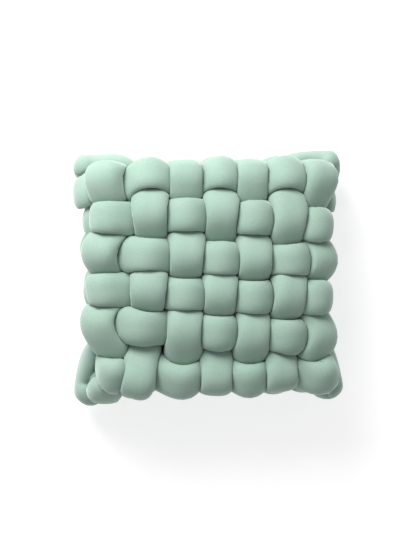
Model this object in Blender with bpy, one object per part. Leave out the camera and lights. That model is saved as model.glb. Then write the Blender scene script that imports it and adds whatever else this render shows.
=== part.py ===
"""Knot cushion: fourteen closed, stuffed cloth tubes in one plain weave.

Seven upright tubes and six crosswise tubes each run round the whole cushion, front and back, and one
more tube runs round the rim. Every tube goes over one neighbour and under the next. The cushion lies
on its back: +X is to the right of its face, +Y is up its face and +Z is out of its face.
"""

import math

import bpy
import numpy as np
from mathutils.kdtree import KDTree

# The cushion's two faces and its rim, in metres. The faces fall and lean outwards near their edges.
MIDDLE_Z = 0.067
FRONT_RISE = 0.042
BACK_DROP = 0.038
FACE_REACH_X = 0.148
FACE_REACH_Y = 0.140
EDGE_FALL = 0.22
EDGE_LEAN = 0.60

# The stuffed tube: how far its skin may go from its middle line, and how square its oval is
TUBE_HALF_WIDTH = 0.0300
TUBE_HALF_THICKNESS = 0.0225
TUBE_INNER_REACH = 0.0270
THINNEST = 0.005
FULLNESS = 2.6
SOFTNESS = 0.03
SEAT_GAP = 0.0010

# The weave: how far a tube goes out and in at its crossings, and how far it dips between them
WEAVE_LIFT = 0.0215
RIM_LIFT = 0.0145
UPRIGHT_SAG = 0.004
CROSSWISE_SAG = 0.005
# A rise lifts the line between two crossings where it comes up, and lowers it where it goes down
UPRIGHT_RISES = (0.007, 0.006, 0.008, 0.006, -0.006)
CROSSWISE_RISE = 0.006
# How far an ear's bend reaches to both sides, and how thin the tube is there
EAR_TURN = 0.013
EAR_PINCH = 0.68

# Where each upright tube turns over the rim and crosses the face, from top to bottom
UPRIGHTS = (
    # name, x at the top rim, x at the top, middle and bottom of the face, x at the bottom rim,
    # how far out it turns over the top and the bottom rim, how much its upper ends swell
    ("upright_1", -0.135, -0.147, -0.150, -0.141, -0.158, 0.146, 0.143, 1.0),
    ("upright_2", -0.083, -0.086, -0.091, -0.103, -0.106, 0.137, 0.137, 1.8),
    ("upright_3", -0.038, -0.038, -0.037, -0.042, -0.043, 0.135, 0.135, 1.5),
    ("upright_4", 0.014, 0.015, 0.012, 0.006, 0.004, 0.135, 0.135, 1.6),
    ("upright_5", 0.057, 0.059, 0.061, 0.056, 0.052, 0.135, 0.135, 1.0),
    ("upright_6", 0.101, 0.106, 0.110, 0.099, 0.098, 0.137, 0.136, 2.1),
    ("upright_7", 0.122, 0.150, 0.146, 0.153, 0.150, 0.148, 0.131, 1.0),
)
# Where each crosswise tube turns over the rim and crosses the face, from left to right
CROSSWISE = (
    # name, y at the left rim, y at the left, middle and right of the face, y at the right rim,
    # how far out it turns over the left and the right rim, how much its left and right ends swell
    ("crosswise_1", 0.130, 0.143, 0.146, 0.145, 0.124, 0.157, 0.155, 0.0, 1.3),
    ("crosswise_2", 0.086, 0.093, 0.095, 0.081, 0.078, 0.147, 0.147, 1.0, 1.0),
    ("crosswise_3", 0.040, 0.044, 0.034, 0.031, 0.029, 0.146, 0.144, 1.0, 2.4),
    ("crosswise_4", -0.015, -0.012, -0.019, -0.023, -0.024, 0.146, 0.146, 1.0, 1.0),
    ("crosswise_5", -0.066, -0.057, -0.070, -0.080, -0.077, 0.147, 0.147, 1.8, 1.4),
    ("crosswise_6", -0.118, -0.129, -0.134, -0.126, -0.106, 0.151, 0.145, 1.0, 1.0),
)
# Crossings of the front that the weaver's hands pulled aside
PULLED = (
    # column, row, how far to the right, up and out
    (1, 2, 0.006, 0.0, 0.0),
    (1, 5, -0.006, 0.0, 0.0),
    (1, 6, 0.008, 0.0, 0.0),
    (7, 3, 0.006, 0.0, -0.007),
    (7, 5, 0.003, 0.0, -0.004),
)
# Where the rim tube turns each corner, which shows as an ear, and the way that the ear points
EARS = (
    # name, x, y and z of its middle, x and y of its way out
    ("top_right", 0.179, 0.171, 0.052, 1.0, 1.0),
    ("bottom_right", 0.183, -0.159, 0.052, 1.0, -0.8),
    ("bottom_left", -0.181, -0.163, 0.048, -1.0, -0.8),
    ("top_left", -0.174, 0.171, 0.050, -1.0, 1.2),
)

# How finely the tubes are made. A step is the way from one crossing to the next.
SIDES = 12
RINGS_PER_STEP = 3
SAMPLES_PER_STEP = 16

# Settling moves middle lines nearer than LINE_ROOM apart. HOLD pulls each knot back to its start.
SETTLING_ROUNDS = 30
LINE_ROOM = 0.024
HOLD = 0.08

# Filling draws the skin in where it crowds a neighbour. OWN_STRETCH of a tube's own line is no neighbour.
FILLING_ROUNDS = 24
DRAW_IN = 0.6
OWN_STRETCH = 0.014

CLOTH_COLOUR = (0.36, 0.50, 0.42, 1.0)

COLUMNS = len(UPRIGHTS)
ROWS = len(CROSSWISE)


def clear_scene():
    for obj in list(bpy.data.objects):
        bpy.data.objects.remove(obj)


def cloth():
    material = bpy.data.materials.new("sage_plush")
    material.use_nodes = True
    shader = material.node_tree.nodes["Principled BSDF"]
    shader.inputs["Base Color"].default_value = CLOTH_COLOUR
    shader.inputs["Roughness"].default_value = 0.85
    shader.inputs["Metallic"].default_value = 0.0
    return material


def units(vectors):
    """The same vectors at length 1, along the last axis."""
    return vectors / np.linalg.norm(vectors, axis=-1, keepdims=True)


def across(vectors, heading):
    """What is left of the vectors when the part along the heading is taken out."""
    return vectors - np.sum(vectors * heading, axis=-1, keepdims=True) * heading


def tree_of(points):
    tree = KDTree(len(points))
    for k, point in enumerate(points):
        tree.insert(point, k)
    tree.balance()
    return tree


def along(three, share):
    """The value at a share of the way from the first of three evenly spaced values to the last."""
    first, middle, last = three
    t = 2 * share - 1
    return middle + t * (last - first) / 2 + t * t * ((first + last) / 2 - middle)


# The weave: each crossing has a place on the cushion's middle surface and a direction out of it


def pulled(column, row):
    """How far to the right, up and out a crossing of the front was pulled."""
    for pulled_column, pulled_row, *way in PULLED:
        if (pulled_column, pulled_row) == (column + 1, row + 1):
            return way
    return (0.0, 0.0, 0.0)


def face_crossing(column, row, front):
    """Place and outward direction of the crossing of a column and a row, counted from 0."""
    right, up, outwards = pulled(column, row) if front else (0.0, 0.0, 0.0)
    x = along(UPRIGHTS[column][2:5], row / (ROWS - 1)) + right
    y = along(CROSSWISE[row][2:5], column / (COLUMNS - 1)) + up
    u, v = x / FACE_REACH_X, y / FACE_REACH_Y
    height = (1 - EDGE_FALL * u**4) * (1 - EDGE_FALL * v**4) * (FRONT_RISE if front else -BACK_DROP)
    out = units(np.array((EDGE_LEAN * u**3, EDGE_LEAN * v**3, 1.0 if front else -1.0)))
    return np.array((x, y, MIDDLE_Z + height)) + out * outwards, out


def rim_crossing(column=None, row=None, side=1):
    """The same where an upright or a crosswise tube turns over the rim, at its + or - side."""
    if row is None:
        x, y = (UPRIGHTS[column][k] for k in ((1, 6) if side > 0 else (5, 7)))
        return np.array((x, side * y, MIDDLE_Z)), np.array((0.0, side, 0.0))
    y, x = (CROSSWISE[row][k] for k in ((5, 7) if side > 0 else (1, 6)))
    return np.array((side * x, y, MIDDLE_Z)), np.array((side, 0.0, 0.0))


def upright_crossings(column):
    front = [face_crossing(column, row, True) for row in range(ROWS)]
    back = [face_crossing(column, row, False) for row in reversed(range(ROWS))]
    return [*front, rim_crossing(column=column, side=-1), *back, rim_crossing(column=column, side=1)]


def crosswise_crossings(row):
    front = [face_crossing(column, row, True) for column in range(COLUMNS)]
    back = [face_crossing(column, row, False) for column in reversed(range(COLUMNS))]
    return [*front, rim_crossing(row=row, side=1), *back, rim_crossing(row=row, side=-1)]


def rim_crossings():
    """The rim tube's crossings, clockwise from the top left, and its ears by the crossing before them."""
    columns, rows = range(COLUMNS), range(ROWS)
    sides = (
        [rim_crossing(column=c, side=1) for c in columns],
        [rim_crossing(row=r, side=1) for r in rows],
        [rim_crossing(column=c, side=-1) for c in reversed(columns)],
        [rim_crossing(row=r, side=-1) for r in reversed(rows)],
    )
    crossings, ears = [], {}
    for side, (_, x, y, z, out_x, out_y) in zip(sides, EARS):
        crossings += side
        out = units(np.array((out_x, out_y, 0.0)))
        sideways = np.array((out[1], -out[0], 0.0))
        tip = np.array((x, y, z))
        turns = [EAR_TURN * (turn * sideways - 0.5 * abs(turn) * out) for turn in (-1, 0, 1)]
        girths = (EAR_PINCH, 1.0, EAR_PINCH)
        ears[len(crossings) - 1] = [(tip + turn, out, girth) for turn, girth in zip(turns, girths)]
    return crossings, ears


def midway(here, there):
    """Place and direction halfway between two crossings, round the curve of the surface."""
    (place_a, out_a), (place_b, out_b) = here, there
    turn = math.acos(min(1.0, float(out_a @ out_b)))
    out = units(out_a + out_b)
    bulge = np.linalg.norm(place_b - place_a) / 2 * math.tan(turn / 4)
    return (place_a + place_b) / 2 + out * bulge, out


def face_dips(sag, rises, over_first, swell=1.0):
    """How far a tube dips after each of its crossings: down its front, round the rim and up its back."""
    face = []
    for k, rise in enumerate(rises):
        comes_up = over_first == (k % 2 == 1)
        face.append(sag - rise * (swell if rise > 0 else 1.0) if comes_up else sag + rise)
    return [*face, sag, sag, *reversed(face), sag, sag]


def weave_knots(crossings, over_first, dips, ears):
    """What a tube's middle line goes through, over, level, under, level: place, way out and girth of each."""
    places, outs, girths = [], [], []
    for k, (place, out) in enumerate(crossings):
        lift = RIM_LIFT if abs(out[2]) < 0.01 else WEAVE_LIFT
        over = over_first == (k % 2 == 0)
        knots = [(place + out * (lift if over else -lift), out, 1.0)]
        if k in ears:
            knots += ears[k]
        else:
            place, out = midway(crossings[k], crossings[(k + 1) % len(crossings)])
            knots.append((place - out * dips[k], out, 1.0))
        for place, out, girth in knots:
            places.append(place)
            outs.append(out)
            girths.append(girth)
    return np.array(places), np.array(outs), np.array(girths)[:, None]


def smooth_loop(knots, at):
    """Points of the closed curve through the knots, at positions counted in knots."""
    first = np.floor(at).astype(int)
    t = (at - first)[:, None]
    a, b, c, d = (knots[(first + shift) % len(knots)] for shift in (-1, 0, 1, 2))
    return 0.5 * (2 * b + (c - a) * t + (2 * a - 5 * b + 4 * c - d) * t**2 + (3 * b - a - 3 * c + d) * t**3)


# The tubes: a round tube along each middle line, which then fills the room that its neighbours leave


class Tube:
    def __init__(self, name, crossings, over_first, dips, ears=()):
        self.name = name
        self.knots, self.knot_outs, self.knot_girths = weave_knots(crossings, over_first, dips, ears)

    def samples(self, per_step):
        return smooth_loop(self.knots, np.arange(0, len(self.knots), 2 / per_step))

    def set_rings(self):
        """Places a ring of skin a little before and after each crossing and each level point."""
        at = (np.arange(len(self.knots) // 2 * RINGS_PER_STEP) + 0.5) * 2 / RINGS_PER_STEP
        self.centres = smooth_loop(self.knots, at)
        self.heading = units(smooth_loop(self.knots, at + 0.01) - smooth_loop(self.knots, at - 0.01))
        self.outs = units(across(smooth_loop(self.knot_outs, at), self.heading))
        self.girths = smooth_loop(self.knot_girths, at)


def all_tubes():
    tubes = []
    for column, (name, *_, swell) in enumerate(UPRIGHTS):
        over = column % 2 == 0
        dips = face_dips(UPRIGHT_SAG, UPRIGHT_RISES, over, swell)
        tubes.append(Tube(name, upright_crossings(column), over, dips))
    for row, (name, *_, left_swell, right_swell) in enumerate(CROSSWISE):
        over = row % 2 == 1
        rises = (CROSSWISE_RISE * left_swell, 0.0, 0.0, 0.0, 0.0, -CROSSWISE_RISE * right_swell)
        dips = face_dips(CROSSWISE_SAG, rises, over)
        tubes.append(Tube(name, crosswise_crossings(row), over, dips))
    crossings, ears = rim_crossings()
    tubes.append(Tube("rim", crossings, True, [0.0] * len(crossings), ears))
    return tubes


def settle(tubes):
    """Lets the middle lines push each other apart where they are too near, each knot held near its start."""
    starts = [tube.knots for tube in tubes]
    for _ in range(SETTLING_ROUNDS):
        lines = [tube.samples(4) for tube in tubes]
        for tube, start, own in zip(tubes, starts, lines):
            others = tree_of(np.concatenate([line for line in lines if line is not own]))
            found = [others.find(point) for point in own]
            far = np.array([distance for _, _, distance in found])[:, None]
            away = own - np.array([place for place, _, _ in found])
            push = away / far * np.maximum(LINE_ROOM - far, 0) / 2
            push = push[0::2] / 2 + (push[1::2] + np.roll(push[1::2], 1, 0)) / 4
            tube.knots = tube.knots + push + HOLD * (start - tube.knots)


def round_tube(tube):
    """A mesh tube of even thickness along the middle line, from a closed curve with a bevel."""
    curve = bpy.data.curves.new(tube.name, "CURVE")
    curve.dimensions = "3D"
    curve.bevel_depth = TUBE_HALF_THICKNESS / 2
    curve.bevel_resolution = (SIDES - 4) // 2
    spline = curve.splines.new("POLY")
    spline.points.add(len(tube.centres) - 1)
    for point, centre in zip(spline.points, tube.centres):
        point.co = (*centre, 1.0)
    spline.use_cyclic_u = True
    guide = bpy.data.objects.new(tube.name + "_guide", curve)
    bpy.context.scene.collection.objects.link(guide)
    graph = bpy.context.evaluated_depsgraph_get()
    mesh = bpy.data.meshes.new_from_object(guide.evaluated_get(graph))
    mesh.name = tube.name
    bpy.data.objects.remove(guide)
    return mesh


def mesh_points(mesh):
    points = np.empty(len(mesh.vertices) * 3)
    mesh.vertices.foreach_get("co", points)
    return points.reshape(-1, 3)


def own_reach(directions, outs):
    """How far a tube's skin goes when nothing is in its way: a full oval, deeper inwards."""
    rise = np.einsum("rsk,rk->rs", directions, outs).clip(-1, 1)
    sideways = np.sqrt(1 - rise**2)
    thickness = np.where(rise > 0, TUBE_HALF_THICKNESS, TUBE_INNER_REACH)
    oval = (np.abs(rise) / thickness) ** FULLNESS + (sideways / TUBE_HALF_WIDTH) ** FULLNESS
    return oval ** (-1 / FULLNESS)


def free_reach(centres, directions, lines):
    """How far each direction can go before it is as near to another stretch of tube as to its own centre."""
    reach = np.empty(directions.shape[:2])
    for k, (centre, ways) in enumerate(zip(centres, directions)):
        to = lines - centre
        far = np.linalg.norm(to, axis=1)
        to, far = to[far > OWN_STRETCH], far[far > OWN_STRETCH]
        towards = ways @ to.T
        limit = np.where(towards > 1e-5, far * (far - SEAT_GAP) / (2 * np.maximum(towards, 1e-5)), np.inf)
        reach[k] = limit.min(axis=1)
    return reach


def eased(reach):
    """The same reaches, each drawn a little towards its four neighbours round and along the tube."""
    around = np.roll(reach, 1, 1) + np.roll(reach, -1, 1)
    lengthwise = np.roll(reach, 1, 0) + np.roll(reach, -1, 0)
    return (1 - SOFTNESS) * reach + SOFTNESS / 4 * (around + lengthwise)


def crowding(points, own, others):
    """How much too near the other tubes each point is."""
    found = [others.find(p)[2] - own.find(p)[2] for p in points]
    return np.maximum(SEAT_GAP - np.array(found), 0) / 2


def filled_skin(tube, mesh, others):
    """The round tube's points moved out to its stuffed shape, clear of the other tubes and of the floor."""
    centres = tube.centres
    rings = mesh_points(mesh).reshape(len(centres), SIDES, 3)
    directions = units(across(rings - centres[:, None], tube.heading[:, None]))
    limit = free_reach(centres, directions, np.concatenate([tube.line, others]))
    down = np.maximum(-directions[:, :, 2], 1e-6)
    limit = np.minimum(limit, centres[:, None, 2] / down)
    reach = np.minimum(own_reach(directions, tube.outs) * tube.girths, limit)
    reach = np.minimum(eased(reach), limit)
    own_tree, other_tree = tree_of(tube.line), tree_of(others)
    for _ in range(FILLING_ROUNDS):
        skin = centres[:, None] + directions * reach[:, :, None]
        for shift in ((1, 0), (0, 1), (1, 1), (1, -1)):
            middle = (skin + np.roll(skin, shift, (0, 1))) / 2
            excess = crowding(middle.reshape(-1, 3), own_tree, other_tree).reshape(reach.shape)
            reach = reach - DRAW_IN * np.maximum(excess, np.roll(excess, (-shift[0], -shift[1]), (0, 1)))
            reach = np.maximum(reach, THINNEST)
    skin = centres[:, None] + directions * reach[:, :, None]
    skin[:, :, 2][skin[:, :, 2] < 1e-5] = 0.0
    return skin.reshape(-1, 3)


def build():
    clear_scene()
    collection = bpy.data.collections.new("knot_cushion")
    bpy.context.scene.collection.children.link(collection)
    material = cloth()
    tubes = all_tubes()
    settle(tubes)
    for tube in tubes:
        tube.set_rings()
        tube.line = tube.samples(SAMPLES_PER_STEP)
    meshes = [round_tube(tube) for tube in tubes]
    skins = []
    for tube, mesh in zip(tubes, meshes):
        others = np.concatenate([other.line for other in tubes if other is not tube])
        skins.append(filled_skin(tube, mesh, others))
    skin = np.concatenate(skins)
    middle = (skin.min(axis=0) + skin.max(axis=0)) / 2 * (1, 1, 0)
    for tube, mesh, skin in zip(tubes, meshes, skins):
        mesh.vertices.foreach_set("co", (skin - middle).ravel())
        mesh.update()
        mesh.materials.clear()
        mesh.materials.append(material)
        mesh.shade_smooth()
        collection.objects.link(bpy.data.objects.new(tube.name, mesh))


build()
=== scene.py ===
"""Knot cushion: the finished looks of fourteen stuffed cloth tubes, laid out as a Blender add-on."""

import math

import bpy
import numpy as np
from mathutils import Matrix, Vector
from mathutils.kdtree import KDTree


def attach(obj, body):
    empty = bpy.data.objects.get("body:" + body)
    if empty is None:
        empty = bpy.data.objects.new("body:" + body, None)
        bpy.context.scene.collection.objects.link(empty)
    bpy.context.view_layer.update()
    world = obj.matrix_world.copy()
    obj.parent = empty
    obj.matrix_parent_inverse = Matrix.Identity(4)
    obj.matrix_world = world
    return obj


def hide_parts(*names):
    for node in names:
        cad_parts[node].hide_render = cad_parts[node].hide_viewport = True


bl_info = {
    "name": "Knot Cushion",
    "version": (1, 0, 0),
    "blender": (4, 5, 0),
    "location": "3D View > Sidebar > Knot Cushion",
    "description": "Builds a woven cushion of stuffed cloth tubes, with its floor, lights and camera",
    "category": "Object",
}

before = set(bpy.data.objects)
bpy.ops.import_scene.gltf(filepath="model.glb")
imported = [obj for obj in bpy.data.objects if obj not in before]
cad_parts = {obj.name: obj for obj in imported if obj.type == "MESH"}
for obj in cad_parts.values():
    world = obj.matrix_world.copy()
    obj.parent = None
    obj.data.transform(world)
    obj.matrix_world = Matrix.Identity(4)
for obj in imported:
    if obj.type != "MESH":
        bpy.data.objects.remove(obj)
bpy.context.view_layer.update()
BODY = "root"
SLOT = "sage_plush"

# The cushion's two faces and its rim, in metres. The faces fall and lean outwards near their edges.
MIDDLE_Z = 0.067
FRONT_RISE = 0.042
BACK_DROP = 0.038
FACE_REACH_X = 0.148
FACE_REACH_Y = 0.140
EDGE_FALL = 0.22
EDGE_LEAN = 0.60

# The weave: how far a tube goes out and in at its crossings, and how far it dips between them
WEAVE_LIFT = 0.0215
RIM_LIFT = 0.0145
UPRIGHT_SAG = 0.004
CROSSWISE_SAG = 0.005
# A rise lifts the line between two crossings where it comes up, and lowers it where it goes down
UPRIGHT_RISES = (0.007, 0.006, 0.008, 0.006, -0.006)
CROSSWISE_RISE = 0.006

# Settling moves middle lines nearer than LINE_ROOM apart. HOLD pulls each knot back to its start.
SETTLING_ROUNDS = 30
LINE_ROOM = 0.024
HOLD = 0.08

# Where each upright tube turns over the rim and crosses the face, from top to bottom
UPRIGHTS = (
    # name, x at the top rim, x at the top, middle and bottom of the face, x at the bottom rim,
    # how far out it turns over the top and the bottom rim, how much its upper ends swell
    ("upright_1", -0.135, -0.147, -0.150, -0.141, -0.158, 0.146, 0.146, 1.0),
    ("upright_2", -0.083, -0.086, -0.091, -0.103, -0.114, 0.137, 0.137, 1.8),
    ("upright_3", -0.038, -0.038, -0.037, -0.042, -0.043, 0.135, 0.135, 1.5),
    ("upright_4", 0.014, 0.015, 0.012, 0.006, 0.004, 0.135, 0.135, 1.6),
    ("upright_5", 0.057, 0.059, 0.061, 0.056, 0.052, 0.135, 0.135, 1.0),
    ("upright_6", 0.101, 0.106, 0.110, 0.099, 0.098, 0.137, 0.136, 2.1),
    ("upright_7", 0.122, 0.150, 0.146, 0.153, 0.150, 0.148, 0.131, 1.0),
)
# Where each crosswise tube turns over the rim and crosses the face, from left to right
CROSSWISE = (
    # name, y at the left rim, y at the left, middle and right of the face, y at the right rim,
    # how far out it turns over the left and the right rim, how much its left and right ends swell
    ("crosswise_1", 0.134, 0.143, 0.146, 0.145, 0.124, 0.163, 0.155, 0.0, 1.3),
    ("crosswise_2", 0.086, 0.093, 0.095, 0.081, 0.078, 0.147, 0.147, 1.0, 1.0),
    ("crosswise_3", 0.040, 0.044, 0.034, 0.031, 0.029, 0.146, 0.144, 1.0, 2.4),
    ("crosswise_4", -0.015, -0.012, -0.019, -0.023, -0.024, 0.146, 0.146, 1.0, 1.0),
    ("crosswise_5", -0.066, -0.057, -0.070, -0.080, -0.077, 0.147, 0.147, 1.8, 1.4),
    ("crosswise_6", -0.118, -0.129, -0.134, -0.126, -0.113, 0.151, 0.148, 1.0, 1.0),
)
# Crossings of the front that the weaver's hands pulled aside
PULLED = (
    # column, row, how far to the right, up and out
    (1, 2, 0.006, 0.0, 0.0),
    (1, 5, -0.006, 0.0, 0.0),
    (1, 6, 0.008, 0.0, 0.0),
    (7, 3, 0.006, 0.0, -0.007),
    (7, 5, 0.003, 0.0, -0.004),
    (2, 6, -0.005, 0.0, 0.004),
    (7, 6, 0.003, -0.006, 0.0),
    (2, 4, 0.003, 0.002, 0.0),
)
# Where the rim tube turns each corner, which shows as an ear: into the bend, its tip and out of it
EARS = (
    # name, x and y of its way out, then for each knot its x, y and z and how thick the tube is there
    ("top_right", (1.0, 1.0),
     (0.1652, 0.1765, 0.052, 0.72), (0.1815, 0.1735, 0.052, 1.08), (0.1866, 0.1575, 0.052, 0.76)),
    ("bottom_right", (1.0, -0.8),
     (0.1885, -0.1465, 0.050, 0.76), (0.1885, -0.1620, 0.048, 1.04), (0.1745, -0.1700, 0.046, 0.76)),
    ("bottom_left", (-1.0, -0.8),
     (-0.1650, -0.1700, 0.034, 0.70), (-0.1815, -0.1655, 0.047, 1.02), (-0.1850, -0.1485, 0.049, 0.58)),
    ("top_left", (-1.0, 1.2),
     (-0.1825, 0.1585, 0.044, 0.70), (-0.1785, 0.1695, 0.049, 1.00), (-0.1650, 0.1735, 0.052, 0.62)),
)

COLUMNS = len(UPRIGHTS)
ROWS = len(CROSSWISE)
# Rings of cloth for every two knots of a middle line
RINGS_PER_STEP = 14
# How far on and back along the line, in knots, its heading is taken
HEADING_STEP = 0.01
# Moves the settled weave to where the solids lie, whose box has its middle over the origin
CENTRING = (0.0, -0.0065, 0.0)

# Filling: the share of its excess that the cloth gives up each round, how near its own line it may come
# where a bend folds it, as a share of its reach, and the thinnest that it gets
GIVE = 0.45
FOLD_ROOM = 0.80
THINNEST = 0.003
SOFTENING_WEIGHT = 0.6
SMOOTHING_WEIGHT = 0.5
# The uneven stuffing: how many lumps there are in a metre, and the noise that neither swells nor sinks
LUMPS = 22.0
LUMP_LEVEL = 0.55
# Metres of cloth round a tube, for the cloth map
CLOTH_ROUND = 0.16

# The plush, counted against the width of a tuft: how many tufts go along it, how many cells of the knit,
# and how deep the pile is
TUFTS_ALONG = 0.70
KNIT_CELLS = 0.55
PILE_DEPTH = 0.4
# What the tufts and the knit make of the pile, and what the brushed patches and the pile make of the colour,
# which is painted shade where the pile is low
TUFT_SHARE, KNIT_SHARE = 0.75, 0.25
PATCH_SHARE, PILE_SHADE_SHARE = 0.35, 0.65

FLOOR_HALF = 6.0
FLOOR_Z = -0.001
LAMP_PLACE = (-0.60, 1.10, 0.95)
LAMP_AIM = (0.0, 0.0, 0.07)
LAMP_SIZE = 0.9
CAMERA_AIM = (0.0, -0.0021, 0.07)
CAMERA_SIDE = (-0.1, 0.07, 1.0)
SENSOR = 36.0
PICTURE_HEIGHT = 555
METRES_PER_PIXEL = 0.0014948


# What a user may change


class CushionSizes(bpy.types.PropertyGroup):
    """How the cloth tubes are stuffed and how finely they are made."""

    half_width: bpy.props.FloatProperty(
        name="Half width", description="How far a free tube bulges sideways from its middle line",
        default=0.0285, min=0.02, max=0.05, unit="LENGTH")
    crown: bpy.props.FloatProperty(
        name="Crown", description="How far a tube bulges outwards from its middle line",
        default=0.0215, min=0.01, max=0.04, unit="LENGTH")
    depth: bpy.props.FloatProperty(
        name="Depth", description="How far a tube reaches inwards from its middle line",
        default=0.0310, min=0.01, max=0.04, unit="LENGTH")
    fullness: bpy.props.FloatProperty(
        name="Fullness", description="How square the tube's free section is: 2 is an oval",
        default=2.6, min=2.0, max=4.0)
    seat_gap: bpy.props.FloatProperty(
        name="Seat gap", description="Room left between two tubes that press on each other",
        default=0.0002, min=0.0, max=0.003, unit="LENGTH")
    sides: bpy.props.IntProperty(
        name="Sides", description="Faces round each tube", default=44, min=16, max=64)
    filling_rounds: bpy.props.IntProperty(
        name="Filling rounds", description="How often the cloth is drawn in where it crowds a neighbour",
        default=18, min=1, max=60)
    softening_rounds: bpy.props.IntProperty(
        name="Softening rounds", description="How often the cloth's shape is evened out",
        default=2, min=0, max=20)
    smoothing_rounds: bpy.props.IntProperty(
        name="Smoothing rounds", description="How often an upright or crosswise tube's cloth is smoothed",
        default=0, min=0, max=40)
    rim_smoothing_rounds: bpy.props.IntProperty(
        name="Rim smoothing rounds", description="The same for the rim tube, which has the tightest bends",
        default=10, min=0, max=40)
    pucker: bpy.props.FloatProperty(
        name="Pucker", description="Height of the slight unevenness of the stuffing under the cloth",
        default=0.0009, min=0.0, max=0.005, unit="LENGTH")
    fill: bpy.props.FloatProperty(
        name="Fill", description="How tightly the tubes are stuffed", default=0.85, min=0.0, max=1.0,
        subtype="FACTOR")


class CushionFinish(bpy.types.PropertyGroup):
    """The plush cloth."""

    cloth: bpy.props.FloatVectorProperty(
        name="Cloth", description="Colour of the cloth", subtype="COLOR", size=3,
        default=(0.332, 0.452, 0.383), min=0.0, max=1.0)
    # painted shade: the colour deep in the pile's hollows, also the darker tone of brushed patches where the
    # pile lies the other way
    pile_shade_and_patch_colour: bpy.props.FloatVectorProperty(
        name="Cloth in the pile", description="Colour deep in the pile and where it lies the other way",
        subtype="COLOR", size=3, default=(0.272, 0.400, 0.328), min=0.0, max=1.0)
    bloom: bpy.props.FloatVectorProperty(
        name="Bloom", description="Colour of the soft light that the pile catches", subtype="COLOR", size=3,
        default=(0.86, 0.96, 0.91), min=0.0, max=1.0)
    pile: bpy.props.FloatProperty(
        name="Pile", description="Size of a tuft of the short pile", default=0.0010, min=0.0003, max=0.005,
        unit="LENGTH")


class CushionStage(bpy.types.PropertyGroup):
    """The floor, the lights and the camera."""

    floor: bpy.props.FloatVectorProperty(
        name="Floor", description="Colour of the plain floor", subtype="COLOR", size=3,
        default=(0.55, 0.55, 0.55), min=0.0, max=1.0)
    floor_glow: bpy.props.FloatProperty(
        name="Floor glow", description="Light that the floor gives off by itself, as a lit table does",
        default=0.66, min=0.0, max=1.0)
    room_light: bpy.props.FloatProperty(
        name="Room light", description="Even white light from all round", default=0.42, min=0.0, max=5.0)
    backdrop: bpy.props.FloatProperty(
        name="Backdrop", description="How bright the plain room behind the floor looks", default=0.92,
        min=0.0, max=1.0)
    key_light: bpy.props.FloatProperty(
        name="Key light", description="Power of the large soft light above the cushion's top edge",
        default=32.0, min=0.0, max=500.0, unit="POWER")
    camera_distance: bpy.props.FloatProperty(
        name="Camera distance", description="From the cushion's middle to the camera", default=2.2,
        min=0.5, max=6.0, unit="LENGTH")


# Small sums


def units(vectors):
    """The same vectors at length 1, along the last axis."""
    return vectors / np.linalg.norm(vectors, axis=-1, keepdims=True)


def across(vectors, heading):
    """What is left of the vectors when the part along the heading is taken out."""
    return vectors - np.sum(vectors * heading, axis=-1, keepdims=True) * heading


def tree_of(points):
    tree = KDTree(len(points))
    for k, point in enumerate(points):
        tree.insert(point, k)
    tree.balance()
    return tree


def along(three, share):
    """The value at a share of the way from the first of three evenly spaced values to the last."""
    first, middle, last = three
    t = 2 * share - 1
    return middle + t * (last - first) / 2 + t * t * ((first + last) / 2 - middle)


# The weave: each crossing has a place on the cushion's middle surface and a direction out of it


def pulled(column, row):
    """How far to the right, up and out a crossing of the front was pulled."""
    for pulled_column, pulled_row, *way in PULLED:
        if (pulled_column, pulled_row) == (column + 1, row + 1):
            return way
    return (0.0, 0.0, 0.0)


def face_crossing(column, row, front):
    """Place and outward direction of the crossing of a column and a row, counted from 0."""
    right, up, outwards = pulled(column, row) if front else (0.0, 0.0, 0.0)
    x = along(UPRIGHTS[column][2:5], row / (ROWS - 1)) + right
    y = along(CROSSWISE[row][2:5], column / (COLUMNS - 1)) + up
    u, v = x / FACE_REACH_X, y / FACE_REACH_Y
    height = (1 - EDGE_FALL * u**4) * (1 - EDGE_FALL * v**4) * (FRONT_RISE if front else -BACK_DROP)
    out = units(np.array((EDGE_LEAN * u**3, EDGE_LEAN * v**3, 1.0 if front else -1.0)))
    return np.array((x, y, MIDDLE_Z + height)) + out * outwards, out


def rim_crossing(column=None, row=None, side=1):
    """The same where an upright or a crosswise tube turns over the rim, at its + or - side."""
    if row is None:
        x, y = (UPRIGHTS[column][k] for k in ((1, 6) if side > 0 else (5, 7)))
        return np.array((x, side * y, MIDDLE_Z)), np.array((0.0, side, 0.0))
    y, x = (CROSSWISE[row][k] for k in ((5, 7) if side > 0 else (1, 6)))
    return np.array((side * x, y, MIDDLE_Z)), np.array((side, 0.0, 0.0))


def upright_crossings(column):
    front = [face_crossing(column, row, True) for row in range(ROWS)]
    back = [face_crossing(column, row, False) for row in reversed(range(ROWS))]
    return [*front, rim_crossing(column=column, side=-1), *back, rim_crossing(column=column, side=1)]


def crosswise_crossings(row):
    front = [face_crossing(column, row, True) for column in range(COLUMNS)]
    back = [face_crossing(column, row, False) for column in reversed(range(COLUMNS))]
    return [*front, rim_crossing(row=row, side=1), *back, rim_crossing(row=row, side=-1)]


def rim_crossings():
    """The rim tube's crossings, clockwise from the top left, and its ears by the crossing before them."""
    columns, rows = range(COLUMNS), range(ROWS)
    sides = (
        [rim_crossing(column=c, side=1) for c in columns],
        [rim_crossing(row=r, side=1) for r in rows],
        [rim_crossing(column=c, side=-1) for c in reversed(columns)],
        [rim_crossing(row=r, side=-1) for r in reversed(rows)],
    )
    crossings, ears = [], {}
    for side, (_, way_out, *knots) in zip(sides, EARS):
        crossings += side
        out = units(np.array((*way_out, 0.0)))
        ears[len(crossings) - 1] = [(np.array(place), out, girth) for *place, girth in knots]
    return crossings, ears


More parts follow.
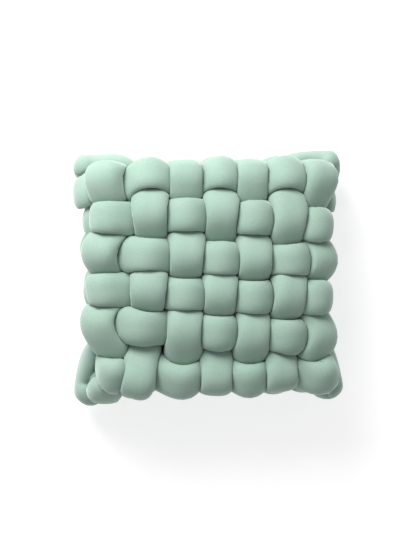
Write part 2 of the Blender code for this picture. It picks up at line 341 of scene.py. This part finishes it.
def midway(here, there):
    """Place and direction halfway between two crossings, round the curve of the surface."""
    (place_a, out_a), (place_b, out_b) = here, there
    turn = math.acos(min(1.0, float(out_a @ out_b)))
    out = units(out_a + out_b)
    bulge = np.linalg.norm(place_b - place_a) / 2 * math.tan(turn / 4)
    return (place_a + place_b) / 2 + out * bulge, out


def face_dips(sag, rises, over_first, swell=1.0):
    """How far a tube dips after each of its crossings: down its front, round the rim and up its back."""
    face = []
    for k, rise in enumerate(rises):
        comes_up = over_first == (k % 2 == 1)
        face.append(sag - rise * (swell if rise > 0 else 1.0) if comes_up else sag + rise)
    return [*face, sag, sag, *reversed(face), sag, sag]


def weave_knots(crossings, over_first, dips, ears):
    """What a tube's middle line goes through, over, level, under, level: place, way out and girth of each."""
    places, outs, girths = [], [], []
    for k, (place, out) in enumerate(crossings):
        lift = RIM_LIFT if abs(out[2]) < 0.01 else WEAVE_LIFT
        over = over_first == (k % 2 == 0)
        knots = [(place + out * (lift if over else -lift), out, 1.0)]
        if k in ears:
            knots += ears[k]
        else:
            place, out = midway(crossings[k], crossings[(k + 1) % len(crossings)])
            knots.append((place - out * dips[k], out, 1.0))
        for place, out, girth in knots:
            places.append(place)
            outs.append(out)
            girths.append(girth)
    return np.array(places), np.array(outs), np.array(girths)[:, None]


def smooth_loop(knots, at):
    """Points of the closed curve through the knots, at positions counted in knots."""
    first = np.floor(at).astype(int)
    t = (at - first)[:, None]
    a, b, c, d = (knots[(first + shift) % len(knots)] for shift in (-1, 0, 1, 2))
    return 0.5 * (2 * b + (c - a) * t + (2 * a - 5 * b + 4 * c - d) * t**2 + (3 * b - a - 3 * c + d) * t**3)


class Tube:
    """One closed tube of the weave: its name, its knots and, once settled, its middle line."""

    def __init__(self, name, crossings, over_first, dips, ears=()):
        self.name = name
        self.knots, self.knot_outs, self.knot_girths = weave_knots(crossings, over_first, dips, ears)

    def at(self, per_step):
        return np.arange(0, len(self.knots), 2 / per_step)

    def samples(self, per_step):
        return smooth_loop(self.knots, self.at(per_step))

    def outs(self, per_step):
        at = self.at(per_step)
        heading = units(smooth_loop(self.knots, at + HEADING_STEP)
                        - smooth_loop(self.knots, at - HEADING_STEP))
        return units(across(smooth_loop(self.knot_outs, at), heading))

    def girths(self, per_step):
        return smooth_loop(self.knot_girths, self.at(per_step))[:, 0]


def all_tubes():
    tubes = []
    for column, (name, *_, swell) in enumerate(UPRIGHTS):
        over = column % 2 == 0
        dips = face_dips(UPRIGHT_SAG, UPRIGHT_RISES, over, swell)
        tubes.append(Tube(name, upright_crossings(column), over, dips))
    for row, (name, *_, left_swell, right_swell) in enumerate(CROSSWISE):
        over = row % 2 == 1
        rises = (CROSSWISE_RISE * left_swell, 0.0, 0.0, 0.0, 0.0, -CROSSWISE_RISE * right_swell)
        dips = face_dips(CROSSWISE_SAG, rises, over)
        tubes.append(Tube(name, crosswise_crossings(row), over, dips))
    crossings, ears = rim_crossings()
    tubes.append(Tube("rim", crossings, True, [0.0] * len(crossings), ears))
    return tubes


def settle(tubes):
    """Lets the middle lines push each other apart where they are too near, each knot held near its start."""
    starts = [tube.knots for tube in tubes]
    for _ in range(SETTLING_ROUNDS):
        lines = [tube.samples(4) for tube in tubes]
        for tube, start, own in zip(tubes, starts, lines):
            others = tree_of(np.concatenate([line for line in lines if line is not own]))
            found = [others.find(point) for point in own]
            far = np.array([distance for _, _, distance in found])[:, None]
            away = own - np.array([place for place, _, _ in found])
            push = away / far * np.maximum(LINE_ROOM - far, 0) / 2
            push = push[0::2] / 2 + (push[1::2] + np.roll(push[1::2], 1, 0)) / 4
            tube.knots = tube.knots + push + HOLD * (start - tube.knots)


# Geometry Nodes: each tube's cloth is swept along its middle line and filled out


class Tree:
    """Adds nodes to a tree and links them."""

    def __init__(self, tree):
        self.tree = tree

    def add(self, kind, inputs=(), **settings):
        node = self.tree.nodes.new(kind)
        for name, value in settings.items():
            setattr(node, name, value)
        for name, value in dict(inputs).items():
            self.feed(node.inputs[name], value)
        return node

    def feed(self, socket, value):
        if isinstance(value, bpy.types.NodeSocket):
            self.tree.links.new(value, socket)
        else:
            socket.default_value = value

    def number(self, operation, *values):
        node = self.tree.nodes.new("ShaderNodeMath")
        node.operation = operation
        for socket, value in zip(node.inputs, values):
            self.feed(socket, value)
        return node.outputs[0]

    def vector(self, operation, *values):
        node = self.tree.nodes.new("ShaderNodeVectorMath")
        node.operation = operation
        for socket, value in zip(node.inputs, values):
            self.feed(socket, value)
        return node.outputs["Value" if operation == "DOT_PRODUCT" else "Vector"]

    def scaled(self, vector, factor):
        node = self.add("ShaderNodeVectorMath", operation="SCALE")
        self.feed(node.inputs[0], vector)
        self.feed(node.inputs["Scale"], factor)
        return node.outputs["Vector"]


def stuffed_tube_tree(material):
    """A tree that sweeps a tube of cloth along a closed line and fills it out against its neighbours."""
    tree = bpy.data.node_groups.new("stuffed_tube", "GeometryNodeTree")
    sockets = (
        ("Geometry", "NodeSocketGeometry"),
        ("Neighbours", "NodeSocketObject"),
        ("Sides", "NodeSocketInt"),
        ("Half Width", "NodeSocketFloat"),
        ("Crown", "NodeSocketFloat"),
        ("Depth", "NodeSocketFloat"),
        ("Fullness", "NodeSocketFloat"),
        ("Seat Gap", "NodeSocketFloat"),
        ("Filling Rounds", "NodeSocketInt"),
        ("Softening Rounds", "NodeSocketInt"),
        ("Smoothing Rounds", "NodeSocketInt"),
        ("Pucker", "NodeSocketFloat"),
        ("Seed", "NodeSocketInt"),
    )
    for name, kind in sockets:
        tree.interface.new_socket(name, in_out="INPUT", socket_type=kind)
    tree.interface.new_socket("Geometry", in_out="OUTPUT", socket_type="NodeSocketGeometry")
    make = Tree(tree)
    given = make.add("NodeGroupInput").outputs

    def read(name, kind="FLOAT"):
        return make.add("GeometryNodeInputNamedAttribute", {"Name": name}, data_type=kind).outputs[0]

    def stored(geometry, name, value, kind="FLOAT"):
        return make.add("GeometryNodeStoreNamedAttribute",
                        {"Geometry": geometry, "Name": name, "Value": value},
                        data_type=kind, domain="POINT").outputs[0]

    # the middle line becomes a curve, and each point of the cloth keeps its place on it
    line = make.add("GeometryNodeMeshToCurve", {"Mesh": given["Geometry"]}).outputs["Curve"]
    place = make.add("GeometryNodeInputPosition").outputs[0]
    out = read("out", "FLOAT_VECTOR")
    kept = stored(line, "centre", place, "FLOAT_VECTOR")
    # only the ways to the ring's points are used, so its radius is free
    ring = make.add("GeometryNodeCurvePrimitiveCircle", {"Resolution": given["Sides"], "Radius": 0.01},
                    mode="RADIUS").outputs["Curve"]
    cloth = make.add("GeometryNodeCurveToMesh", {"Curve": kept, "Profile Curve": ring}).outputs["Mesh"]

    # each point's way from the middle line, and how far an unhindered tube reaches that way
    centre = read("centre", "FLOAT_VECTOR")
    way = make.vector("NORMALIZE", make.vector("SUBTRACT", place, centre))
    rise = make.vector("DOT_PRODUCT", way, out)
    outward = make.number("GREATER_THAN", rise, 0.0)
    thickness = make.add("ShaderNodeMix", data_type="FLOAT")
    make.feed(thickness.inputs[0], outward)
    make.feed(thickness.inputs[2], given["Depth"])
    make.feed(thickness.inputs[3], given["Crown"])
    steep = make.number("POWER", make.number("DIVIDE", make.number("ABSOLUTE", rise), thickness.outputs[0]),
                        given["Fullness"])
    level = make.number("SQRT", make.number("MAXIMUM", make.number("SUBTRACT", 1.0,
                        make.number("MULTIPLY", rise, rise)), 0.0))
    flat = make.number("POWER", make.number("DIVIDE", level, given["Half Width"]), given["Fullness"])
    free = make.number("MULTIPLY", read("girth"), make.number("POWER", make.number("ADD", steep, flat),
                       make.number("DIVIDE", -1.0, given["Fullness"])))
    # the floor stops it
    down = make.number("MAXIMUM", make.number("MULTIPLY",
                       make.add("ShaderNodeSeparateXYZ", {"Vector": way}).outputs["Z"], -1.0), 1e-5)
    height = make.add("ShaderNodeSeparateXYZ", {"Vector": centre}).outputs["Z"]
    to_floor = make.number("DIVIDE", height, down)
    reach = make.number("MINIMUM", free, to_floor)
    cloth = stored(cloth, "way", way, "FLOAT_VECTOR")
    for name in ("reach", "full"):
        cloth = stored(cloth, name, reach)

    # filling: the reach is drawn in, or let out as far as a free tube's, until the cloth is as far from
    # every neighbour's line as from its own
    others = make.add("GeometryNodeObjectInfo", {"Object": given["Neighbours"]},
                      transform_space="ORIGINAL").outputs["Geometry"]
    way = read("way", "FLOAT_VECTOR")
    reach, full = read("reach"), read("full")
    skin = make.vector("ADD", centre, make.scaled(way, reach))

    def drawn_in(geometry):
        near = make.add("GeometryNodeProximity", {"Geometry": others, "Sample Position": skin},
                        target_element="EDGES").outputs["Distance"]
        own = make.add("GeometryNodeProximity", {"Geometry": given["Geometry"], "Sample Position": skin},
                       target_element="EDGES").outputs["Distance"]
        crowd = make.number("SUBTRACT", make.number("ADD", own, given["Seat Gap"]), near)
        fold = make.number("SUBTRACT", make.number("MULTIPLY", reach, FOLD_ROOM), own)
        excess = make.number("MAXIMUM", crowd, fold)
        fitted = make.number("SUBTRACT", reach, make.number("MULTIPLY", excess, GIVE))
        fitted = make.number("MAXIMUM", make.number("MINIMUM", fitted, full), THINNEST)
        return stored(geometry, "reach", fitted)

    def repeated(geometry, rounds, step):
        begin = tree.nodes.new("GeometryNodeRepeatInput")
        end = tree.nodes.new("GeometryNodeRepeatOutput")
        begin.pair_with_output(end)
        make.feed(begin.inputs["Iterations"], rounds)
        make.feed(begin.inputs["Geometry"], geometry)
        make.feed(end.inputs["Geometry"], step(begin.outputs["Geometry"]))
        return end.outputs["Geometry"]

    cloth = repeated(cloth, given["Filling Rounds"], drawn_in)

    # softening: the cloth is evened out, and then filled for two more rounds
    def evened(geometry):
        blurred = make.add("GeometryNodeBlurAttribute",
                           {"Value": reach, "Iterations": 1, "Weight": SOFTENING_WEIGHT},
                           data_type="FLOAT").outputs[0]
        return drawn_in(drawn_in(stored(geometry, "reach", blurred)))

    cloth = repeated(cloth, given["Softening Rounds"], evened)

    # the stuffing under the cloth is a little uneven, and the floor stops it again. The noise goes at most
    # about half a unit up or down, so it is doubled for the pucker.
    lumps = make.add("ShaderNodeTexNoise",
                     {"Vector": skin, "W": given["Seed"], "Scale": LUMPS, "Detail": 1.0},
                     noise_dimensions="4D").outputs[0]
    swell = make.number("MULTIPLY", make.number("SUBTRACT", lumps, LUMP_LEVEL), given["Pucker"])
    swell = make.number("MULTIPLY", swell, 2.0)
    swollen = make.add("ShaderNodeSeparateXYZ", {
        "Vector": make.vector("ADD", skin, make.scaled(way, swell))}).outputs
    lifted = make.add("ShaderNodeCombineXYZ", {
        "X": swollen["X"], "Y": swollen["Y"],
        "Z": make.number("MAXIMUM", swollen["Z"], 0.0)}).outputs[0]
    cloth = make.add("GeometryNodeSetPosition", {"Geometry": cloth, "Position": lifted}).outputs[0]

    # smoothing takes out the small folds where the cloth lies double inside a tight bend
    smooth = make.add("GeometryNodeBlurAttribute",
                      {"Value": place, "Iterations": given["Smoothing Rounds"], "Weight": SMOOTHING_WEIGHT},
                      data_type="FLOAT_VECTOR").outputs[0]
    cloth = make.add("GeometryNodeSetPosition", {"Geometry": cloth, "Position": smooth}).outputs[0]
    cloth = make.add("GeometryNodeSetShadeSmooth", {"Geometry": cloth, "Shade Smooth": True}).outputs[0]
    cloth = make.add("GeometryNodeRealizeInstances", {"Geometry": cloth}).outputs[0]
    cloth = make.add("GeometryNodeSetMaterial", {"Geometry": cloth, "Material": material}).outputs[0]
    ending = make.add("NodeGroupOutput")
    make.feed(ending.inputs["Geometry"], cloth)
    return tree


def set_inputs(modifier, values):
    """Sets a Geometry Nodes modifier's named inputs by their sockets' identifiers."""
    sockets = {item.name: item.identifier for item in modifier.node_group.interface.items_tree
               if item.item_type == "SOCKET" and item.in_out == "INPUT"}
    for name, value in values.items():
        modifier[sockets[name]] = value


def line_object(name, loops, outs=None, girths=None):
    """A mesh of closed lines only, with the way out and the girth kept at each point."""
    mesh = bpy.data.meshes.new(name)
    points, edges = [], []
    for loop in loops:
        first = len(points)
        points += [tuple(p) for p in loop]
        edges += [(first + k, first + (k + 1) % len(loop)) for k in range(len(loop))]
    mesh.from_pydata(points, edges, [])
    if outs is not None:
        way = mesh.attributes.new("out", "FLOAT_VECTOR", "POINT")
        way.data.foreach_set("vector", np.asarray(outs, np.float32).ravel())
        mesh.attributes.new("girth", "FLOAT", "POINT").data.foreach_set("value", girths.astype(np.float32))
    thing = bpy.data.objects.new(name, mesh)
    bpy.context.scene.collection.objects.link(thing)
    return thing


def plain_mesh(thing):
    """The object's evaluated shape as a plain mesh of its own."""
    graph = bpy.context.evaluated_depsgraph_get()
    graph.update()
    return bpy.data.meshes.new_from_object(thing.evaluated_get(graph))


def lay_cloth_map(mesh, sides, length):
    """A UV map in metres along and round the tube, from the rings' own order."""
    rings = len(mesh.vertices) // sides
    uv = mesh.uv_layers.new(name="cloth")
    corners = np.empty(len(mesh.loops), int)
    mesh.loops.foreach_get("vertex_index", corners)
    ring, side = corners // sides, corners % sides
    first = np.repeat(np.arange(0, len(corners), 4), 4)
    ring_base, side_base = ring[first], side[first]
    ring = np.where(ring - ring_base > rings // 2, ring - rings, ring)
    ring = np.where(ring_base - ring > rings // 2, ring + rings, ring)
    side = np.where(side - side_base > sides // 2, side - sides, side)
    side = np.where(side_base - side > sides // 2, side + sides, side)
    flat = np.stack([ring / rings * length, side / sides * CLOTH_ROUND], 1)
    uv.data.foreach_set("uv", flat.astype(np.float32).ravel())


# The plush cloth


def plush(finish):
    """Short plush on a knit ground: soft tufts along the tube, brushed patches of random tone, painted shade
    where the pile is low and a bloom at the edges.
    """
    material = bpy.data.materials.new(SLOT)
    material.use_nodes = True
    make = Tree(material.node_tree)
    shader = material.node_tree.nodes["Principled BSDF"]
    seen = make.add("ShaderNodeTexCoord").outputs
    patches = make.add("ShaderNodeTexNoise",
                       {"Vector": seen["Object"], "Scale": 26.0, "Detail": 2.0}).outputs[0]
    lengthwise = make.vector("MULTIPLY", seen["UV"], (TUFTS_ALONG / finish.pile, 1.0 / finish.pile, 0.0))
    tufts = make.add("ShaderNodeTexNoise", {"Vector": lengthwise, "Scale": 1.0, "Detail": 3.0,
                                            "Roughness": 0.6}).outputs[0]
    knit = make.add("ShaderNodeTexVoronoi", {"Vector": make.scaled(lengthwise, KNIT_CELLS), "Scale": 1.0},
                    feature="SMOOTH_F1").outputs["Distance"]
    pile = make.number("ADD", make.number("MULTIPLY", tufts, TUFT_SHARE),
                       make.number("MULTIPLY", make.number("SUBTRACT", 1.0, knit), KNIT_SHARE))
    # the base colour darkens where the pile's bump is low, a painted shade in its hollows, and in the brushed
    # patches, a random tone
    pile_shade_and_patches = make.number("ADD", make.number("MULTIPLY", patches, PATCH_SHARE),
                      make.number("MULTIPLY", pile, PILE_SHADE_SHARE))
    spread = make.add("ShaderNodeMapRange", {"Value": pile_shade_and_patches, "From Min": 0.38, "From Max": 0.66}).outputs[0]
    colour = make.add("ShaderNodeMix", data_type="RGBA")
    make.feed(colour.inputs[0], spread)
    colour.inputs[6].default_value = (*finish.pile_shade_and_patch_colour, 1.0)
    colour.inputs[7].default_value = (*finish.cloth, 1.0)
    make.feed(shader.inputs["Base Color"], colour.outputs[2])
    roughness = make.add("ShaderNodeMapRange", {"Value": pile, "To Min": 0.95, "To Max": 0.80}).outputs[0]
    make.feed(shader.inputs["Roughness"], roughness)
    shader.inputs["Specular IOR Level"].default_value = 0.15
    shader.inputs["Sheen Weight"].default_value = 0.60
    shader.inputs["Sheen Roughness"].default_value = 0.50
    shader.inputs["Sheen Tint"].default_value = (*finish.bloom, 1.0)
    bump = make.add("ShaderNodeBump",
                    {"Height": pile, "Strength": 0.20, "Distance": finish.pile * PILE_DEPTH})
    make.feed(shader.inputs["Normal"], bump.outputs[0])
    return material


# The operators


class KNOT_OT_tubes(bpy.types.Operator):
    """Builds the fourteen stuffed cloth tubes of the weave in place of their plain solids"""

    bl_idname = "knot_cushion.tubes"
    bl_label = "Stuffed Tubes"

    def execute(self, context):
        sizes, finish = context.scene.knot_sizes, context.scene.knot_finish
        material = plush(finish)
        tree = stuffed_tube_tree(material)
        tubes = all_tubes()
        settle(tubes)
        lines = [tube.samples(RINGS_PER_STEP) + CENTRING for tube in tubes]
        for seed, (tube, own) in enumerate(zip(tubes, lines)):
            loops = [line[::2] for line in lines if line is not own]
            neighbours = line_object("neighbours", loops)
            line = line_object(tube.name + "_line", [own], tube.outs(RINGS_PER_STEP),
                               tube.girths(RINGS_PER_STEP))
            modifier = line.modifiers.new("stuffed tube", "NODES")
            modifier.node_group = tree
            smoothing = sizes.rim_smoothing_rounds if tube.name == "rim" else sizes.smoothing_rounds
            set_inputs(modifier, {
                "Neighbours": neighbours, "Sides": sizes.sides, "Half Width": sizes.half_width,
                "Crown": sizes.crown, "Depth": sizes.depth, "Fullness": sizes.fullness,
                "Seat Gap": sizes.seat_gap, "Filling Rounds": sizes.filling_rounds,
                "Softening Rounds": sizes.softening_rounds, "Smoothing Rounds": smoothing,
                "Pucker": sizes.pucker, "Seed": seed})
            mesh = plain_mesh(line)
            for thing in (line, neighbours):
                bpy.data.objects.remove(thing)
            if not mesh.polygons:
                raise RuntimeError(f"{tube.name}: the tube came out empty")
            for name in ("centre", "way", "reach", "full", "out", "girth"):
                if name in mesh.attributes:
                    mesh.attributes.remove(mesh.attributes[name])
            length = np.linalg.norm(own - np.roll(own, 1, 0), axis=1).sum()
            lay_cloth_map(mesh, sizes.sides, length)
            piece = bpy.data.objects.new(tube.name + "_cloth", mesh)
            mesh.name = piece.name
            bpy.context.scene.collection.objects.link(piece)
            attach(piece, BODY)
            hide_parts(tube.name)
        return {"FINISHED"}


class KNOT_OT_stage(bpy.types.Operator):
    """Lays the plain floor and sets the lights and the camera"""

    bl_idname = "knot_cushion.stage"
    bl_label = "Floor, Lights and Camera"

    def execute(self, context):
        stage = context.scene.knot_stage
        scene = context.scene
        mesh = bpy.data.meshes.new("floor")
        corners = ((-1, -1), (1, -1), (1, 1), (-1, 1))
        mesh.from_pydata([(x * FLOOR_HALF, y * FLOOR_HALF, FLOOR_Z) for x, y in corners], [],
                         [(0, 1, 2, 3)])
        floor = bpy.data.objects.new("floor", mesh)
        scene.collection.objects.link(floor)
        paint = bpy.data.materials.new("floor")
        paint.use_nodes = True
        shader = paint.node_tree.nodes["Principled BSDF"]
        shader.inputs["Base Color"].default_value = (*stage.floor, 1.0)
        shader.inputs["Roughness"].default_value = 0.9
        shader.inputs["Specular IOR Level"].default_value = 0.1
        shader.inputs["Emission Color"].default_value = (1.0, 1.0, 1.0, 1.0)
        shader.inputs["Emission Strength"].default_value = stage.floor_glow
        mesh.materials.append(paint)

        world = bpy.data.worlds.new("soft_room")
        world.use_nodes = True
        background = world.node_tree.nodes["Background"]
        background.inputs["Color"].default_value = (1.0, 1.0, 1.0, 1.0)
        # what is seen of the room is as pale as the floor, while its light stays soft
        make = Tree(world.node_tree)
        seen = make.add("ShaderNodeLightPath").outputs["Is Camera Ray"]
        make.feed(background.inputs["Strength"], make.number(
            "MULTIPLY_ADD", seen, stage.backdrop - stage.room_light, stage.room_light))
        scene.world = world
        scene.view_settings.view_transform = "Standard"
        lamp = bpy.data.lights.new("key", "AREA")
        lamp.shape = "SQUARE"
        lamp.size = LAMP_SIZE
        lamp.energy = stage.key_light
        key = bpy.data.objects.new("key", lamp)
        key.location = LAMP_PLACE
        key.rotation_mode = "QUATERNION"
        key.rotation_quaternion = (Vector(LAMP_AIM) - Vector(LAMP_PLACE)).to_track_quat("-Z", "Y")
        scene.collection.objects.link(key)

        camera = bpy.data.objects.new("camera", bpy.data.cameras.new("camera"))
        scene.collection.objects.link(camera)
        back = Vector(CAMERA_SIDE).normalized()
        camera.location = Vector(CAMERA_AIM) + back * stage.camera_distance
        camera.rotation_mode = "QUATERNION"
        camera.rotation_quaternion = look(-back)
        camera.data.sensor_width = SENSOR
        camera.data.sensor_fit = "AUTO"
        camera.data.lens = SENSOR * stage.camera_distance / (PICTURE_HEIGHT * METRES_PER_PIXEL)
        camera.data.clip_end = 50.0
        scene.camera = camera
        return {"FINISHED"}


def look(direction):
    """A turn that points a camera along the direction with +Y upwards in the picture."""
    ahead = direction.normalized()
    right = ahead.cross(Vector((0, 1, 0))).normalized()
    up = right.cross(ahead)
    return Matrix((right, up, -ahead)).transposed().to_quaternion()


class KNOT_PT_panel(bpy.types.Panel):
    """Lists the cushion's sizes, its finish, its stage and the steps that build it"""

    bl_idname = "KNOT_PT_panel"
    bl_label = "Knot Cushion"
    bl_space_type = "VIEW_3D"
    bl_region_type = "UI"
    bl_category = "Knot Cushion"

    def draw(self, context):
        for group in (context.scene.knot_sizes, context.scene.knot_finish, context.scene.knot_stage):
            box = self.layout.box()
            for name in group.__annotations__:
                box.prop(group, name)
        for step in (KNOT_OT_tubes, KNOT_OT_stage):
            self.layout.operator(step.bl_idname)


CLASSES = (CushionSizes, CushionFinish, CushionStage, KNOT_OT_tubes, KNOT_OT_stage, KNOT_PT_panel)


def register():
    for each in CLASSES:
        bpy.utils.register_class(each)
    bpy.types.Scene.knot_sizes = bpy.props.PointerProperty(type=CushionSizes)
    bpy.types.Scene.knot_finish = bpy.props.PointerProperty(type=CushionFinish)
    bpy.types.Scene.knot_stage = bpy.props.PointerProperty(type=CushionStage)


def unregister():
    del bpy.types.Scene.knot_stage
    del bpy.types.Scene.knot_finish
    del bpy.types.Scene.knot_sizes
    for each in reversed(CLASSES):
        bpy.utils.unregister_class(each)


def main():
    register()
    bpy.ops.knot_cushion.tubes()
    bpy.ops.knot_cushion.stage()


if __name__ == "__main__":
    main()
